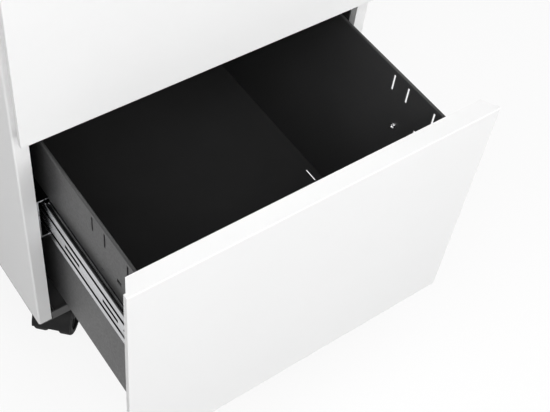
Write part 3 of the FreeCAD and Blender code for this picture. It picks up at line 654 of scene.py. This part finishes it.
@dataclass
class WheelFaces:
    """Moulded ribs in the dished outer faces of a caster's two wheels."""

    place: str
    turn_deg: float = 45.0
    hub_radius: float = 0.006
    rim_radius: float = 0.0188
    face_reach: float = 0.0182
    rib_width: float = 0.0016
    rib_height: float = 0.0022
    round_share: float = 0.35
    round_steps: int = 3
    ribs: int = 6

    def build(self, maker: PieceMaker) -> None:
        """Makes the ribs of both wheels.

        Args:
            maker: shapes the pieces.
        """
        low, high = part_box(f"caster_{self.place}_wheels")
        centre = (Vector(low) + Vector(high)) / 2
        length = self.rim_radius - self.hub_radius
        rib = bmesh.new()
        bmesh.ops.create_cube(rib, size=1.0)
        bmesh.ops.scale(rib, vec=(length, self.rib_width, self.rib_height), verts=rib.verts)
        upper = [edge for edge in rib.edges if all(vert.co.z > 0 for vert in edge.verts)]
        bmesh.ops.bevel(
            rib, geom=upper, offset=self.rib_width * self.round_share,
            affect="EDGES", segments=self.round_steps, profile=0.5, material=-1,
        )
        out = Matrix.Translation((self.hub_radius + length / 2, 0.0, 0.0))
        swivel = Matrix.Translation(centre) @ Matrix.Rotation(math.radians(self.turn_deg), 4, "Z")
        lift = Matrix.Translation((0.0, 0.0, self.face_reach))
        places = [
            swivel @ Matrix.Rotation(side * math.pi / 2, 4, "X") @ lift
            @ Matrix.Rotation(math.tau * number / self.ribs, 4, "Z") @ out
            for side in (-1, 1)
            for number in range(self.ribs)
        ]
        ribs = maker.copies(rib, places)
        name = f"caster_{self.place}_wheel_ribs"
        maker.hand_over(name, ribs, f"caster_{self.place}_wheel_pair", Slot.WHEEL_PLASTIC)


@dataclass(frozen=True)
class Lamp:
    """One square soft lamp that looks at the cabinet."""

    name: str
    place: Triple
    size: float
    power: float
    aim: Triple = (0.0, -0.1, 0.3)

    def hang(self) -> None:
        """Makes the lamp in its place."""
        data = bpy.data.lights.new(self.name, "AREA")
        data.size = self.size
        data.energy = self.power
        lamp = bpy.data.objects.new(self.name, data)
        lamp.location = self.place
        way = Vector(self.aim) - Vector(self.place)
        lamp.rotation_euler = way.to_track_quat("-Z", "Y").to_euler()
        bpy.context.collection.objects.link(lamp)


LAMPS = (
    Lamp("key_lamp", (-1.1, -2.0, 2.6), size=1.6, power=43.0),
    Lamp("front_lamp", (0.9, -2.9, 1.6), size=2.0, power=46.0),
    Lamp("left_lamp", (-2.6, -0.7, 2.3), size=2.0, power=31.0),
    Lamp("top_lamp", (0.6, -1.0, 3.0), size=1.6, power=6.0),
    Lamp("right_lamp", (2.4, -0.4, 1.6), size=1.8, power=8.0),
    Lamp("rear_lamp", (0.7, 3.0, 1.0), size=2.0, power=26.0),
)


@dataclass
class Studio:
    """Pale floor, a white surround under a dim ceiling, and soft lamps."""

    floor_size: float = 14.0
    floor_drop: float = 0.0004
    floor_colour: Triple = (0.9, 0.9, 0.9)
    floor_bounce: Triple = (0.3, 0.3, 0.3)
    floor_glow: float = 0.85
    floor_mirrored: float = 0.62
    surround_colour: Triple = (1.0, 1.0, 1.0)
    surround_light: float = 0.5
    ceiling_share: float = 0.18
    ceiling_range: tuple[float, float] = (0.3, 0.7)

    def build(self) -> None:
        """Makes the floor, the surround and the lamps."""
        self._floor()
        self._surround()
        for lamp in LAMPS:
            lamp.hang()
        log.info("studio built")

    def _floor(self) -> None:
        """Makes the floor, which shows white where nothing shades it."""
        bpy.ops.mesh.primitive_plane_add(size=self.floor_size, location=(0.0, 0.0, -self.floor_drop))
        floor = bpy.context.object
        floor.name = "studio_floor"
        made = bpy.data.materials.new("studio_floor")
        tree = ShaderTree.emptied(made)
        rays = tree.add("ShaderNodeLightPath").outputs
        colour = tree.mix(rays["Is Camera Ray"], opaque(self.floor_bounce), opaque(self.floor_colour))
        matt = tree.add("ShaderNodeBsdfDiffuse", Color=colour)
        mirrored = tree.math("ADD", rays["Is Glossy Ray"], rays["Is Transmission Ray"], clamp=True)
        straight = tree.math("MULTIPLY", rays["Is Camera Ray"], self.floor_glow)
        share = tree.math("ADD", straight, tree.math("MULTIPLY", mirrored, self.floor_mirrored))
        white = tree.add("ShaderNodeEmission", Strength=1.0)
        both = tree.add("ShaderNodeMixShader")
        tree.feed(both.inputs[0], share)
        tree.feed(both.inputs[1], matt.outputs[0])
        tree.feed(both.inputs[2], white.outputs[0])
        tree.add("ShaderNodeOutputMaterial", Surface=both.outputs[0])
        floor.data.materials.append(made)

    def _surround(self) -> None:
        """Makes white walls all round that fade to a dim ceiling overhead."""
        world = bpy.data.worlds.new("studio")
        tree = ShaderTree.emptied(world)
        way = tree.add("ShaderNodeTexCoord").outputs["Generated"]
        height = tree.add("ShaderNodeSeparateXYZ", Vector=way).outputs["Z"]
        fade = tree.spread(height, 1.0, self.ceiling_share, *self.ceiling_range)
        rays = tree.add("ShaderNodeLightPath").outputs
        seen = tree.math("ADD", rays["Is Camera Ray"], rays["Is Glossy Ray"])
        seen = tree.math("ADD", seen, rays["Is Transmission Ray"], clamp=True)
        level = tree.spread(seen, self.surround_light, 1.0)
        strength = tree.math("MULTIPLY", fade, level)
        glow = tree.add("ShaderNodeBackground", Color=opaque(self.surround_colour), Strength=strength)
        tree.add("ShaderNodeOutputWorld", Surface=glow.outputs[0])
        bpy.context.scene.world = world


@dataclass
class PhotoCamera:
    """The camera at the photograph's place and angle."""

    place: Triple = (-0.4071, -0.7157, 1.0494)
    bearing_deg: float = 42.333
    dip_deg: float = 51.790
    roll_deg: float = 8.920
    lens_mm: float = 69.178
    sensor_mm: float = 36.0
    nearest: float = 0.01

    def build(self) -> None:
        """Makes the camera and looks through it."""
        data = bpy.data.cameras.new("photo_camera")
        data.sensor_width = self.sensor_mm
        data.lens = self.lens_mm
        data.clip_start = self.nearest
        camera = bpy.data.objects.new("photo_camera", data)
        bearing = math.radians(self.bearing_deg)
        dip = math.radians(self.dip_deg)
        level = math.cos(dip)
        ahead = Vector((math.sin(bearing) * level, math.cos(bearing) * level, -math.sin(dip)))
        turn = ahead.to_track_quat("-Z", "Y").to_matrix().to_4x4()
        roll = Matrix.Rotation(math.radians(self.roll_deg), 4, "Z")
        camera.matrix_world = Matrix.Translation(self.place) @ turn @ roll
        bpy.context.collection.objects.link(camera)
        bpy.context.scene.camera = camera
        log.info("camera placed")


def main() -> None:
    """Builds the scene in order."""
    logging.basicConfig(level=logging.INFO)
    bpy.context.scene.view_settings.view_transform = "Standard"
    PhotoCamera().build()
    Studio().build()
    dresser = Dresser()
    dresser.paint_nodes()
    maker = PieceMaker(dresser)
    for drawer in DRAWERS:
        BoxFasteners(drawer).build(maker)
    for place in CASTERS:
        WheelFaces(place).build(maker)


if __name__ == "__main__":
    main()
